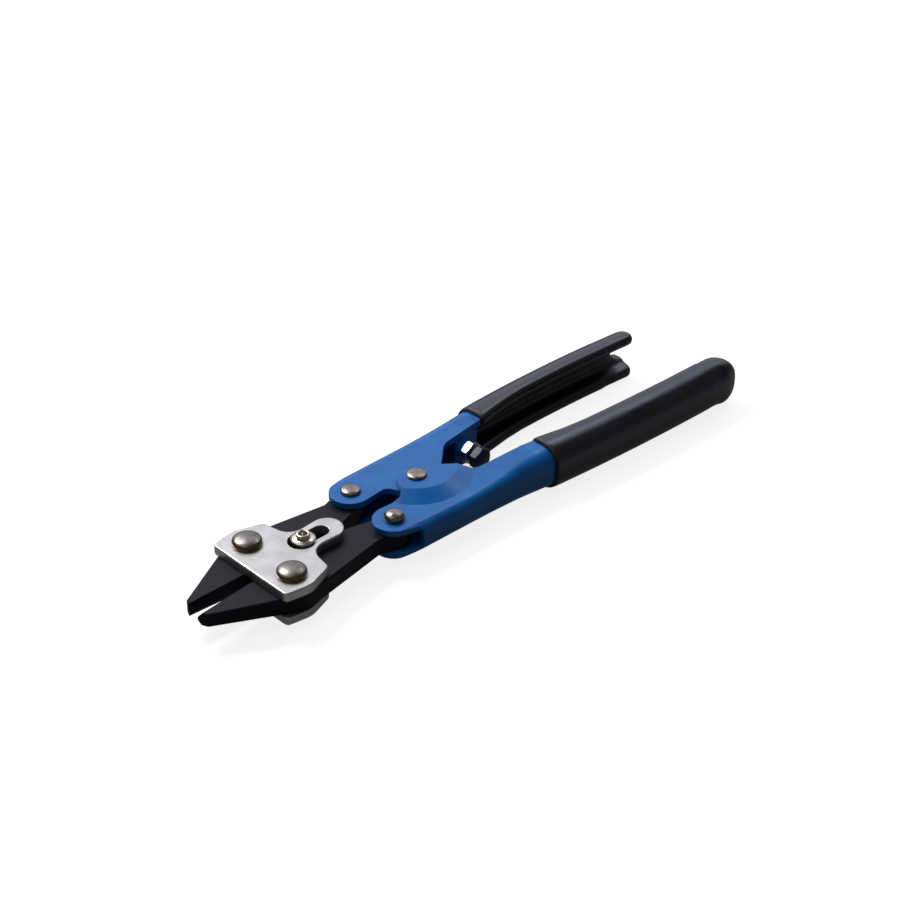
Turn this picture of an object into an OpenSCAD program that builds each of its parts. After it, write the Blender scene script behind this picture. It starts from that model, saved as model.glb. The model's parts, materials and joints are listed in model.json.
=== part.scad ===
// Compact compound-lever bolt and wire cutter, about 205 mm long, lying flat.
// +X runs from the jaws to the handles, +Y is the left handle's side, +Z is up.
// The jaws turn on two rivets between a pair of side plates.  Each jaw tail is
// riveted into the ears of a pressed channel handle, and the handles share one
// pivot rivet.  A sliding pin in the plates' keyholes keeps the jaws in step.

/* [Jaws] */
// Thickness of each jaw
jaw_t = 5.6; // [4.6:0.1:6.4]
// Half the distance between the two jaw pivots
pivot_y = 9.95; // [9.6:0.05:10.6]
// Distance from the pivots forward to the tip of the cutting edge
nose_len = 27.2; // [22:0.1:32]
// Width of the blunt tip, across the jaw
nose_w = 3.6; // [2.8:0.1:4.6]
// Width of the ground bevel beside the cutting edge
bevel_w = 1.8; // [1.2:0.1:2.2]
// Radius of the jaw round its pivot
jaw_eye_r = 7.3; // [6.8:0.1:8]
// Small chamfer round the jaw's faces
jaw_chamfer = 0.35; // [0.2:0.05:0.5]
// Angle from closed at which each jaw rests here
rest_open = 2.7; // [2.2:0.1:3]
// Further angle each jaw can still open, to where the tails meet
spare_open = 2.4; // [1.6:0.1:2.6]
// Distance from the pivots back to the link rivet, jaws closed
link_x = 39.46; // [37:0.1:42]
// Offset of the link rivet from the middle line, jaws closed
link_y = 11.5; // [11.2:0.1:12]
// Radius of the jaw tail round its link rivet
tail_r = 5.1; // [4.6:0.1:5.6]

/* [Side plates] */
// Thickness of each side plate
plate_t = 2.85; // [2.2:0.05:3.2]
// Distance from the jaw pivots forward to the plate's front edge
plate_front = 7.7; // [6.8:0.1:8.4]
// Width of the plate at its front corners
plate_w = 33.2; // [32.4:0.1:34.2]
// Radius of the plate round each jaw pivot
plate_eye_r = 7.6; // [7.2:0.1:8.2]
// Distance from the jaw pivots back to the middle of the tail lobe
lobe_x = 21.6; // [20.4:0.1:23]
// Radius of the tail lobe
lobe_r = 5.2; // [4.8:0.1:5.6]
// Size of the rolled upper edge
plate_roll = 0.6; // [0.3:0.05:0.8]

/* [Jaw rivets] */
// Diameter of the rivet shank
jaw_rivet_d = 6.8; // [6:0.1:7.4]
// Diameter of the rivet head
jaw_head_d = 8.9; // [8.4:0.1:9.6]
// Height of the rivet head over the plate
jaw_head_h = 2.5; // [1.8:0.1:2.5]

/* [Guide pin] */
// Distance from the jaw pivots back to the guide pin
guide_x = 12.7; // [12.2:0.1:13.2]
// Diameter of the guide sleeve
guide_d = 4.8; // [4.2:0.1:5]
// Diameter of the collars
collar_d = 7.4; // [6.8:0.1:7.8]
// Thickness of the collars
collar_t = 1.05; // [0.8:0.05:1.3]
// Diameter of the hollow rivet's rolled eye
eye_d = 4.3; // [4:0.1:4.8]
// Height of the rolled eye over its collar
eye_h = 1.35; // [0.9:0.05:1.5]
// Diameter of the hole in the eye
eye_hole_d = 2.3; // [1.8:0.1:2.4]
// Diameter of the keyhole's round front
keyhole_d = 8.2; // [7.8:0.1:8.6]
// Distance from the round front's middle back to the slot's end middle
slot_len = 7.3; // [6:0.1:7.8]

/* [Handles] */
// Thickness of the sheet steel
sheet_t = 2.1; // [1.6:0.05:2.3]
// Distance between link rivet and handle pivot
handle_link = 20.4; // [19.6:0.1:21.4]
// Radius of the ears round the link rivets
ear_r = 6.6; // [6.2:0.1:7]
// Radius of the left flange round the handle pivot
hub_r = 6.8; // [6.2:0.1:7]
// Distance from the middle line out to the back of the handles
back_y = 18.5; // [18:0.1:19.4]
// Place along X at which the back walls begin
back_x = 43.5; // [43:0.1:45]
// Radius of the bend between flange and back wall at the front
bend_r = 3.5; // [2.8:0.1:4.2]
// Radius of the bend between flange and back wall in the grips
grip_bend_r = 5.8; // [4.8:0.1:6.2]
// Half height of the channel in the grips
grip_half_h = 7.25; // [6.4:0.05:7.35]
// Place along X at which the channel starts to grow in height
flare_x0 = 66; // [60:1:70]
// Place along X at which it reaches its full height
flare_x1 = 100; // [94:1:108]
// Place along X at which the handles bend outward
knee_x = 85; // [82:0.5:88]
// Lean of the left handle before the knee, in degrees
left_lean = 0; // [0:0.1:1]
// Bend of the left handle at the knee, in degrees
left_knee = 3.4; // [2.6:0.1:4.4]
// Radius of the left handle's long inward bow
left_bow_r = 520; // [460:10:900]
// Lean of the right handle before the knee, in degrees
right_lean = 1.7; // [1:0.1:2.4]
// Bend of the right handle at the knee, in degrees
right_knee = 4.9; // [4:0.1:5.6]
// Radius of the right handle's long inward bow
right_bow_r = 830; // [620:10:1200]
// Depth of the channel from its back to the flange edge at the knee
channel_w = 10.6; // [10:0.1:11]
// Depth of the channel in the grips
grip_channel_w = 8.0; // [7.4:0.1:8.6]
// Distance from the middle line to the webs that face each other
web_y = 8.2; // [7.9:0.1:8.6]
// Width of the webs along the handle
web_w = 13; // [11:0.5:14]
// Height of the pressed boss on each web
boss_h = 2; // [1:0.1:2.4]
// Radius of the raised seat's flat top, round the seat's middle
seat_r = 12.5; // [12.2:0.1:13.2]
// Length of the sloped joggle round the seat
joggle = 5.5; // [4.6:0.1:6]

/* [Handle rivets] */
// Diameter of the link rivets' shanks
link_rivet_d = 4.4; // [4:0.1:4.8]
// Diameter of the link rivets' heads
link_head_d = 6.1; // [5.6:0.1:6.6]
// Height of the left link rivet's heads
left_head_h = 1.4; // [1:0.1:1.8]
// Height of the right link rivet's heads
right_head_h = 2.6; // [1.8:0.1:2.8]
// Diameter of the handle pivot's shank
pivot_rivet_d = 4.6; // [4.2:0.1:4.8]
// Diameter of the handle pivot's heads
pivot_head_d = 6.2; // [6:0.1:6.8]
// Height of the handle pivot's heads
pivot_head_h = 1.1; // [0.8:0.1:1.1]
// Diameter of the spacer round the handle pivot
spacer_d = 9; // [8:0.1:10]

/* [Grips] */
// Thickness of the soft vinyl over the steel
vinyl_t = 1.05; // [0.8:0.05:1.2]
// Place along X at which the left grip starts
left_grip_x0 = 93; // [91:0.5:96]
// Place along X at which the left grip ends
left_grip_x1 = 165.5; // [158:0.5:172]
// Place along X at which the right grip starts
right_grip_x0 = 96; // [93:0.5:99]
// Place along X at which the right grip ends
right_grip_x1 = 179.6; // [172:0.5:186]
// Length of the right grip's rounded closed end
cap_len = 9; // [7:0.5:11]
// Half width of the notch in the left grip's end
notch_r = 2.6; // [2:0.1:3]
// Depth of that notch
notch_len = 5; // [4:0.1:6]
// Radius of the rounded flange ends
end_r = 3.2; // [2.4:0.1:4]

/* [Stop screw] */
// Place along X of the stop screw
stop_x = 85; // [83.5:0.1:87]
// Diameter of the screw's shank
stop_d = 4; // [3:0.1:4.2]
// Width across flats of its head and of the lock nut
stop_flats = 6.6; // [6.2:0.1:7.2]
// Thickness of the lock nut
nut_t = 2.8; // [2:0.1:3.2]
// Height of the screw head
stop_head_h = 3.4; // [2.6:0.1:3.8]
// Radius of the head's rounded bearing face
stop_crown_r = 8; // [6:0.5:12]

/* [Clearances] */
// Gap between sliding flat faces
face_gap = 0.1; // [0.06:0.01:0.14]
// Radial running clearance of the rivets
run_gap = 0.05; // [0.02:0.01:0.09]
// Radial clearance of riveted and pressed fits
seat_gap = 0.02; // [0.01:0.01:0.04]
// Radial clearance of the right handle on the handle pivot
loop_gap = 0.3; // [0.26:0.01:0.34]
// Gap between a jaw notch and the guide sleeve
notch_gap = 0.7; // [0.6:0.05:0.8]
// Gap left at the stop screw when the jaws meet
stop_gap = 0.15; // [0.1:0.01:0.3]
// Gap left between the jaw tails when fully open
tail_gap = 0.12; // [0.1:0.01:0.2]
// Gap between vinyl and steel
vinyl_gap = 0.05; // [0.03:0.01:0.08]

/* [Hidden] */
round_fn = 72;

// ---- heights of the stack, from the mid plane ----
jaw_z = jaw_t / 2;
plate_z0 = jaw_z + face_gap / 2;
plate_z1 = plate_z0 + plate_t;
jaw_head_z = plate_z1 + jaw_head_h;
ear_z0 = jaw_z + face_gap;
ear_z1 = ear_z0 + sheet_t;
seat_z0 = ear_z1 + face_gap;
seat_z1 = seat_z0 + sheet_t;
pivot_head_z = seat_z1 + pivot_head_h;
collar_z0 = plate_z1 + face_gap;
collar_z1 = collar_z0 + collar_t;
grip_z = grip_half_h + vinyl_t;
half_height = max(grip_z, jaw_head_z, pivot_head_z);

// ---- the linkage, jaws at rest ----
// A jaw point at rest, from its place with the jaws closed (left side)
function opened(p, a = rest_open) = [
    p[0] * cos(a) + (p[1] - pivot_y) * sin(a),
    pivot_y - p[0] * sin(a) + (p[1] - pivot_y) * cos(a)];
link = opened([link_x, link_y]);
pivot_x = link[0] + sqrt(pow(handle_link, 2) - pow(link[1], 2));
// How far each handle swings in while the jaws close
swing = asin(link_y / handle_link) - asin(link[1] / handle_link);
stop_travel = (stop_x - pivot_x) * tan(swing);

// ---- the handles' plan curves, as drawn for the left side ----
function ramp(x, x0, x1) = let (u = max(0, min(1, (x - x0) / (x1 - x0)))) u * u * (3 - 2 * u);
function back_line(x, lean, knee, bow_r) = let (u = max(0, x - knee_x))
    back_y + tan(lean) * (x - back_x) + tan(knee) * u - u * u / (2 * bow_r);
function half_h(x) = ear_z1 + (grip_half_h - ear_z1) * ramp(x, flare_x0, flare_x1);
function corner_r(x) = bend_r + (grip_bend_r - bend_r) * ramp(x, flare_x0, flare_x1);
function depth(x) = channel_w + (grip_channel_w - channel_w) * ramp(x, knee_x, knee_x + 30);
blank_y = -hub_r - 4;
blank_x0 = link[0] - ear_r - 3;
web_x0 = stop_x - web_w / 2;
web_x1 = stop_x + web_w / 2;
boss_d = stop_flats - 0.4;
screw_tail = 2;

// ---- the part stands on z = 0 with the middle of its box over the origin ----
tip_r = 0.6;
front_x = opened([-nose_len + tip_r, tip_r])[0] - tip_r;
side_xs = [for (i = [0 : 60]) left_grip_x0 + (right_grip_x1 - cap_len - left_grip_x0) * i / 60];
left_side = vinyl_t + max([for (x = side_xs)
    if (x < left_grip_x1) back_line(x, left_lean, left_knee, left_bow_r)]);
right_side = vinyl_t + max([for (x = side_xs) back_line(x, right_lean, right_knee, right_bow_r)]);
module placed() {
    translate([-(front_x + right_grip_x1) / 2, (right_side - left_side) / 2, half_height])
        children();
}

// ---- outlines: tangent arcs round a ring of circles ----
// A circle is [x, y, r]; r > 0 turns left round it, r < 0 turns right
arc_step = 9;
function unit(a) = [cos(a), sin(a)];
function run_angle(p, q) = let (d = [q[0] - p[0], q[1] - p[1]])
    atan2(d[1], d[0]) - asin((q[2] - p[2]) / norm(d));
function turn(a, b, r) = let (t = b - a, w = t - 360 * floor(t / 360)) r > 0 ? w : w - 360;
function outline(ring, inset = 0) = let (n = len(ring)) [
    for (i = [0 : n - 1])
        let (p = ring[i], a = run_angle(ring[(i + n - 1) % n], p), b = run_angle(p, ring[(i + 1) % n]),
            t = turn(a, b, p[2]), k = max(1, ceil(abs(t) / arc_step)), r = p[2] - inset)
        for (j = [0 : k]) [p[0], p[1]] + r * unit(a - 90 + t * j / k)];

// ---- general solids ----
// A skin over a stack of rings.  A U-shaped ring starts at the middle of one lip, and its
// ends are closed by a ladder of quads from lip to lip.
module loft(rings, ladder = false) {
    n = len(rings[0]);
    m = len(rings);
    last = (m - 1) * n;
    points = [for (ring = rings) each ring];
    rungs = [for (i = [0 : n / 2 - 1])
        i == 0 ? [0, 1, n - 1] : i == n / 2 - 1 ? [i, i + 1, i + 2] : [i, i + 1, n - i - 1, n - i]];
    start = ladder ? rungs : [[for (i = [0 : n - 1]) i]];
    finish = [for (f = start) [for (i = [len(f) - 1 : -1 : 0]) last + f[i]]];
    sides = [for (j = [0 : m - 2], i = [0 : n - 1])
        let (a = j * n + i, b = j * n + (i + 1) % n)
        each [[a, b + n, b], [a, a + n, b + n]]];
    polyhedron(points = points, faces = concat(start, finish, sides), convexity = 10);
}

function lifted(points, z) = [for (p = points) [p[0], p[1], z]];

// What lies between two heights; its children run past both
module slab(z0, z1) {
    reach = 100;
    intersection() {
        children();
        translate([-reach, -reach, z0])
            cube([2 * reach, 2 * reach, z1 - z0]);
    }
}

// A flat plate from z0 to z1 with its upper edge rolled over
module rolled_plate(ring, z0, z1, roll) {
    slab(z0, z1)
        loft(concat([lifted(outline(ring), z0 - 1)],
            [for (a = [0 : 30 : 90]) lifted(outline(ring, roll * (1 - cos(a))), z1 - roll + roll * sin(a))],
            [lifted(outline(ring, roll), z1 + 1)]));
}

// A flat plate with both faces chamfered
module chamfered_plate(ring, half, chamfer) {
    slab(-half, half)
        loft([for (k = [[-half - 1, chamfer], [-half, chamfer], [-half + chamfer, 0],
            [half - chamfer, 0], [half, chamfer], [half + 1, chamfer]])
            lifted(outline(ring, k[1]), k[0])]);
}

// Both heads and the shank of a rivet that stands on the mid plane
module rivet(shank_r, head_r, z_seat, head_h) {
    rim = head_h * 0.45;
    dome = head_h - rim;
    big_r = (head_r * head_r + dome * dome) / (2 * dome);
    cylinder(r = shank_r, h = 2 * z_seat + head_h, center = true, $fn = round_fn);
    for (side = [0, 1])
        mirror([0, 0, side])
            rotate_extrude($fn = round_fn)
                polygon(concat([[0, z_seat], [head_r, z_seat]],
                    [for (i = [0 : 8]) let (r = head_r * cos(90 * i / 8))
                        [r, z_seat + rim + sqrt(big_r * big_r - r * r) - big_r + dome]]));
}

// ---- jaws ----
tail_slope = tan(rest_open + spare_open);
tail_x = 28;
tail_corner_r = 4;
jaw_ring = [
    [-nose_len + tip_r, tip_r, tip_r],
    [-4, 0.6, 0.6],
    [tail_x, tail_x * tail_slope + tail_corner_r + tail_gap, tail_corner_r],
    [link_x, link_y, tail_r],
    [link_x - 8.6, link_y + 5.4, -3],
    [0, pivot_y, jaw_eye_r],
    [-nose_len + 1.5, nose_w - 0.6, 0.6]];

module bevel_cut(side) {
    reach = jaw_z + 1;
    translate([-nose_len - 2, 0, 0])
        rotate([90, 0, 90])
            linear_extrude(height = nose_len - 3)
                polygon([[-2, 0], [0, 0], [bevel_w * reach / jaw_z, side * reach], [-2, side * reach]]);
}

module jaw() {
    difference() {
        translate([0, pivot_y, 0])
            rotate([0, 0, -rest_open])
                translate([0, -pivot_y, 0])
                    difference() {
                        chamfered_plate(jaw_ring, jaw_z, jaw_chamfer);
                        bevel_cut(1);
                        bevel_cut(-1);
                    }
        translate([0, pivot_y, 0])
            cylinder(d = jaw_rivet_d + 2 * run_gap, h = jaw_t + 2, center = true, $fn = round_fn);
        translate([link[0], link[1], 0])
            cylinder(d = link_rivet_d + 2 * run_gap, h = jaw_t + 2, center = true, $fn = round_fn);
        translate([guide_x, 0, 0])
            cylinder(d = guide_d + 2 * notch_gap, h = jaw_t + 2, center = true, $fn = round_fn);
    }
}

module left_jaw() {
    placed() color("#2b2d33") jaw();
}

module right_jaw() {
    placed() color("#2b2d33") mirror([0, 1, 0]) jaw();
}

// ---- side plates, their rivets and the guide pin ----
corner_r0 = 1.7;
shoulder = [8, pivot_y + 2.95, 2.2];
waist = [15.9, pivot_y - 0.05, -5];
plate_half = [
    [-plate_front + corner_r0, plate_w / 2 - corner_r0, corner_r0],
    [0, pivot_y, plate_eye_r],
    shoulder,
    waist];
plate_ring = concat(
    [for (c = plate_half) [c[0], -c[1], c[2]]],
    [[lobe_x, 0, lobe_r]],
    [for (i = [3 : -1 : 0]) plate_half[i]]);
slot_half_w = guide_d / 2 + 0.2;
keyhole_x = guide_x - 0.7;

module side_plate() {
    color("#c9c8c6")
        difference() {
            rolled_plate(plate_ring, plate_z0, plate_z1, plate_roll);
            for (side = [-1, 1])
                translate([0, side * pivot_y, 0])
                    cylinder(d = jaw_rivet_d + 2 * seat_gap, h = 3 * plate_z1, center = true, $fn = round_fn);
            translate([keyhole_x, 0, 0])
                cylinder(d = keyhole_d, h = 3 * plate_z1, center = true, $fn = round_fn);
            translate([keyhole_x, 0, 0])
                linear_extrude(height = 3 * plate_z1, center = true)
                    polygon(outline([[0, 0, slot_half_w], [slot_len, 0, slot_half_w]]));
        }
}

module upper_plate() {
    placed() side_plate();
}

module lower_plate() {
    placed() mirror([0, 0, 1]) side_plate();
}

module jaw_rivet(side) {
    color("#8d857a")
        translate([0, side * pivot_y, 0])
            rivet(jaw_rivet_d / 2, jaw_head_d / 2, plate_z1, jaw_head_h);
}

module left_jaw_rivet() {
    placed() jaw_rivet(1);
}

module right_jaw_rivet() {
    placed() jaw_rivet(-1);
}

pin_r = guide_d / 2 - 0.9;
tail_head_h = eye_h - 0.5;
module guide_pin() {
    roll = (eye_d - eye_hole_d) / 4;
    bell = 0.3;
    placed()
        color("#b9b4a8")
            translate([guide_x, 0, 0])
                difference() {
                    union() {
                        translate([0, 0, -collar_z1])
                            cylinder(r = pin_r, h = 2 * collar_z1 + eye_h - roll, $fn = round_fn);
                        rotate_extrude($fn = round_fn)
                            polygon(concat([[eye_hole_d / 2 - bell / 2, collar_z1], [eye_d / 2, collar_z1]],
                                [for (a = [0 : 18 : 180])
                                    [eye_d / 2 - roll + roll * cos(a),
                                        collar_z1 + eye_h - roll + roll * sin(a)]],
                                [[eye_hole_d / 2 - bell / 2, collar_z1 + eye_h - roll]]));
                        translate([0, 0, -collar_z1 - tail_head_h])
                            cylinder(r1 = eye_d / 2 - bell, r2 = eye_d / 2, h = tail_head_h, $fn = round_fn);
                    }
                    translate([0, 0, collar_z1 - collar_t])
                        cylinder(d = eye_hole_d, h = collar_t + eye_h + 1, $fn = round_fn);
                }
}

module guide_sleeve() {
    placed()
        color("#a9a59c")
            translate([guide_x, 0, 0])
                difference() {
                    cylinder(d = guide_d, h = 2 * collar_z0, center = true, $fn = round_fn);
                    cylinder(r = pin_r + seat_gap, h = 3 * collar_z0, center = true, $fn = round_fn);
                }
}

module collar() {
    bevel = collar_t * 0.45;
    color("#b9b4a8")
        translate([guide_x, 0, collar_z0])
            difference() {
                union() {
                    cylinder(d = collar_d, h = collar_t - bevel, $fn = round_fn);
                    translate([0, 0, collar_t - bevel])
                        cylinder(d1 = collar_d, d2 = collar_d - 3 * bevel, h = bevel, $fn = round_fn);
                }
                translate([0, 0, -1])
                    cylinder(r = pin_r + seat_gap, h = collar_t + 2, $fn = round_fn);
            }
}

module upper_collar() {
    placed() collar();
}

module lower_collar() {
    placed() mirror([0, 0, 1]) collar();
}

// ---- pressed channel handles, drawn on the left side ----
// shape = [lean, knee, bow radius, end of the steel, start of the inner edge's slope]
left_shape = [left_lean, left_knee, left_bow_r, left_grip_x1 - vinyl_t, pivot_x + 21.2];
right_shape = [right_lean, right_knee, right_bow_r, right_grip_x1 - cap_len, pivot_x + 20];
lip_step = 0.5;
function stations(x0, x1) = [
    for (x = [x0,
        each [for (i = [0 : 6]) flare_x0 + (web_x1 - lip_step - flare_x0) * i / 6],
        each [for (i = [0 : 2]) web_x1 + (flare_x1 - web_x1) * i / 2],
        each [for (i = [1 : 9]) flare_x1 + (x1 - flare_x1) * i / 9]])
    if (x == x0 || (x > x0 && x <= x1)) x];
// Inner edge of the flanges: past the web it follows the back
function lip_y(x, s, g) = x < web_x1 ? blank_y : back_line(x, s[0], s[1], s[2]) - depth(x) - g;
// A cross section, grown outward by g: the lips stand at y0
function section(x, y0, yb, h, r, g) = let (cr = max(0.4, r + g), steps = 6) concat(
    [[x, y0, h + g], [x, y0, -h - g]],
    [for (i = [0 : steps]) let (a = -90 + 90 * i / steps)
        [x, yb + g - cr + cr * cos(a), -h - g + cr + cr * sin(a)]],
    [for (i = [0 : steps]) let (a = 90 * i / steps)
        [x, yb + g - cr + cr * cos(a), h + g - cr + cr * sin(a)]]);
function outer_section(x, s, g) = section(x, lip_y(x, s, g), back_line(x, s[0], s[1], s[2]),
    half_h(x), corner_r(x), g);
function inner_section(x, s, g) = section(x, blank_y - 2, back_line(x, s[0], s[1], s[2]) - sheet_t,
    half_h(x) - sheet_t, corner_r(x) - sheet_t, -g);
// The same channel as one closed ring with round lips
function lip_arc(x, y0, z, r, a0) = [for (i = [1 : 5]) let (a = a0 + 30 * i)
    [x, y0 + r + r * cos(a), z + r * sin(a)]];
function reversed(points) = [for (i = [len(points) - 1 : -1 : 0]) points[i]];
function sleeve_section(x, s, g) = let (r = (sheet_t + 2 * g) / 2 - 0.01, y0 = lip_y(x, s, g),
    z = half_h(x) + g - r, outer = outer_section(x, s, g), inner = inner_section(x, s, g), n = len(outer))
    concat([for (i = [2 : n - 1]) outer[i]],
        [[x, y0 + r, z + r]], lip_arc(x, y0, z, r, 90), [[x, y0 + r, z - r]],
        reversed([for (i = [2 : n - 1]) inner[i]]),
        [[x, y0 + r, -z + r]], lip_arc(x, y0, -z, r, 90), [[x, y0 + r, -z - r]]);

// The joggled seat: a flat cone over the flanges, round [x, y]
seat_mid = [pivot_x + 3.5, -4];
module seat_cone(z0, z1, r1) {
    run = joggle / (seat_z1 - ear_z1);
    for (side = [0, 1])
        mirror([0, 0, side])
            translate([seat_mid[0], seat_mid[1], z0])
                cylinder(r1 = r1 + run * (z1 - z0), r2 = r1, h = z1 - z0, $fn = 144);
}

module channel(s, x0, x1, g, seated) {
    xs = stations(x0, x1);
    difference() {
        union() {
            loft([for (x = xs) outer_section(x, s, g)]);
            if (seated) seat_cone(ear_z0 + 0.5, seat_z1, seat_r);
        }
        loft([for (x = [x0 - 1, each xs, x1 + 1]) inner_section(x, s, g)]);
        if (seated) seat_cone(ear_z0 - 1, seat_z0, seat_r - 0.4);
    }
}

// The flanges' inner edge beside the web, from the slope's start to the grip
function edge_y(x, s) = web_y + max(0, x - s[4]) / (web_x1 - s[4]) * (lip_y(web_x1, s, 0) - web_y);
stop_y = 2 * stop_travel + stop_gap + boss_h - edge_y(stop_x, right_shape);

// The web between the flanges, with a boss where the stop screw passes or lands
module web(s) {
    half = half_h(web_x0) - sheet_t / 2;
    translate([0, 0, -half])
        linear_extrude(height = 2 * half)
            polygon([[web_x0, edge_y(web_x0, s)], [web_x1, edge_y(web_x1, s)],
                [web_x1, edge_y(web_x1, s) + sheet_t], [web_x0, edge_y(web_x0, s) + sheet_t]]);
}

module boss(s) {
    translate([stop_x, edge_y(stop_x, s) - boss_h, 0])
        rotate([-90, 0, 0])
            cylinder(d = boss_d, h = boss_h + sheet_t / 2, $fn = round_fn);
}

// Plan outline of the flanges; hub is the circle round the handle pivot
far_y = back_y + 20;
slope_r = 5;
edge_r = 0.3;
function flange_ring(hub, s) = [
    [link[0], link[1], ear_r],
    [link[0] + 7, link[1] - ear_r - 2.5, -3],
    hub,
    [s[4], web_y - slope_r, -slope_r],
    [web_x1 - edge_r, lip_y(web_x1, s, 0) - edge_r, -edge_r],
    [web_x1 + 1, blank_y - 3, 0.5],
    [right_grip_x1 + 20, blank_y - 3, 2],
    [right_grip_x1 + 20, far_y, 2],
    [back_x + 1, far_y, 1],
    [back_x - 1.6, link[1] + ear_r + 2.4, -1.6]];

module handle(s, hub, seated) {
    difference() {
        intersection() {
            union() {
                channel(s, blank_x0, s[3], 0, seated);
                web(s);
            }
            translate([0, 0, -far_y])
                linear_extrude(height = 2 * far_y)
                    polygon(outline(flange_ring(hub, s)));
        }
        translate([link[0], link[1], 0])
            cylinder(d = link_rivet_d + 2 * seat_gap, h = 4 * grip_z, center = true, $fn = round_fn);
    }
}

module end_notch(x1, g) {
    r = notch_r + vinyl_t - g;
    translate([x1 + vinyl_t - notch_len + notch_r, 0, 0])
        rotate([-90, 0, 0])
            linear_extrude(height = far_y)
                polygon(outline([[0, 0, r], [notch_len + 5, 0, r]]));
}

// What rounds the flange corners off at the open end, in plan
module end_corner(s, g) {
    r = end_r - vinyl_t + g;
    y0 = back_line(s[3], s[0], s[1], s[2]) - depth(s[3]) - vinyl_t;
    translate([s[3] + vinyl_t - end_r, y0 + end_r, -far_y])
        linear_extrude(height = 2 * far_y)
            difference() {
                translate([0, -2 * end_r])
                    square(2 * end_r);
                circle(r = r, $fn = round_fn);
            }
}

left_hub = [pivot_x, 0, hub_r];
right_hub = [pivot_x - 0.5, 1.5, hub_r];

module left_handle() {
    placed()
        color("#1f5fb0")
            difference() {
                union() {
                    handle(left_shape, left_hub, false);
                    boss(left_shape);
                }
                translate([pivot_x, 0, 0])
                    cylinder(d = pivot_rivet_d + 2 * seat_gap, h = 4 * grip_z, center = true, $fn = round_fn);
                translate([stop_x, 0, 0])
                    rotate([-90, 0, 0])
                        cylinder(d = stop_d + 2 * seat_gap, h = back_y - 3, $fn = round_fn);
                end_notch(left_shape[3], 0);
                end_corner(left_shape, 0);
            }
}

module right_handle() {
    placed()
        color("#1f5fb0")
            mirror([0, 1, 0])
                difference() {
                    union() {
                        handle(right_shape, right_hub, true);
                        boss(right_shape);
                    }
                    translate([pivot_x, 0, 0])
                        cylinder(d = pivot_rivet_d + 2 * loop_gap, h = 4 * grip_z, center = true, $fn = round_fn);
                }
}

// ---- rivets of the handles ----
module left_link_rivet() {
    placed()
        color("#a59b8e")
            translate([link[0], link[1], 0])
                rivet(link_rivet_d / 2, link_head_d / 2, ear_z1, left_head_h);
}

module right_link_rivet() {
    placed()
        color("#a59b8e")
            translate([link[0], -link[1], 0])
                rivet(link_rivet_d / 2, link_head_d / 2, ear_z1, right_head_h);
}

module handle_pivot_rivet() {
    placed()
        color("#b5aca0")
            translate([pivot_x, 0, 0])
                rivet(pivot_rivet_d / 2, pivot_head_d / 2, seat_z1, pivot_head_h);
}

module pivot_spacer() {
    placed()
        color("#6d6c6a")
            translate([pivot_x, 0, 0])
                difference() {
                    cylinder(d = spacer_d, h = 2 * (ear_z0 - face_gap / 2), center = true, $fn = round_fn);
                    cylinder(d = pivot_rivet_d + 2 * seat_gap, h = 4 * ear_z0, center = true, $fn = round_fn);
                }
}

// ---- stop screw in the left web ----
module hex_prism(flats, h) {
    cylinder(d = flats / cos(30), h = h, $fn = 6);
}

module stop_screw() {
    placed()
        color("#2e2c2b")
            translate([stop_x, stop_y, 0])
                rotate([-90, 0, 0]) {
                    intersection() {
                        hex_prism(stop_flats, stop_head_h);
                        translate([0, 0, stop_crown_r])
                            sphere(r = stop_crown_r, $fn = round_fn);
                    }
                    translate([0, 0, stop_head_h / 2])
                        cylinder(d = stop_d, h = edge_y(stop_x, left_shape) + sheet_t + screw_tail - stop_y
                            - stop_head_h / 2, $fn = round_fn);
                }
}

module stop_lock_nut() {
    placed()
        color("#d8dadb")
            translate([stop_x, edge_y(stop_x, left_shape) - boss_h - nut_t - face_gap, 0])
                rotate([-90, 0, 0])
                    difference() {
                        hex_prism(stop_flats, nut_t);
                        translate([0, 0, -1])
                            cylinder(d = stop_d + 2 * seat_gap, h = nut_t + 2, $fn = round_fn);
                    }
}

// ---- dipped vinyl grips ----
grip_edge = 0.9;
function from_lip(ring) = let (n = len(ring)) [for (i = [0 : n - 1]) ring[(i + n - 4) % n]];
function sleeve_rings(s, x0, x1) = [
    for (x = [x0, x0 + grip_edge, each [for (t = stations(x0, x1)) if (t > x0 + grip_edge) t]])
        from_lip(sleeve_section(x, s, x < x0 + grip_edge ? vinyl_t - 0.4 : vinyl_t))];

// The room in the vinyl for the steel
module pocket(s, x0) {
    xs = stations(x0, s[3]);
    difference() {
        loft([for (x = [x0 - 1, each xs, s[3] + vinyl_gap]) outer_section(x, s, vinyl_gap)]);
        loft([for (x = [x0 - 2, each xs, s[3] + 1]) inner_section(x, s, vinyl_gap)]);
    }
}

// A closed section of the round end, with as many points as a section of the sleeve
function arc(x, y, z, r, a0, step, n) = [for (i = [0 : n]) let (a = a0 + step * i)
    [x, y + r * cos(a), z + r * sin(a)]];
function cap_ring(x, s, a) = let (k = max(0.12, pow(cos(a), 0.85)), w = (depth(x) / 2 + vinyl_t) * k,
    mid = back_line(x, s[0], s[1], s[2]) - depth(x) / 2, h = (half_h(x) + vinyl_t) * k,
    r = min(w, (corner_r(x) + vinyl_t) * k), lip_r = sheet_t / 2 + vinyl_t,
    q = min(w - 0.01, lip_r + (w - lip_r) * sin(a)))
    concat(arc(x, mid + w - r, -h + r, r, -90, 15, 6), arc(x, mid + w - r, h - r, r, 0, 15, 6),
        arc(x, mid - w + q, h - q, q, 90, 15, 6),
        [for (i = [1 : 14]) [x, mid - w, (h - q) * (1 - 2 * i / 15)]],
        arc(x, mid - w + q, -h + q, q, 180, 15, 6));

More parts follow.
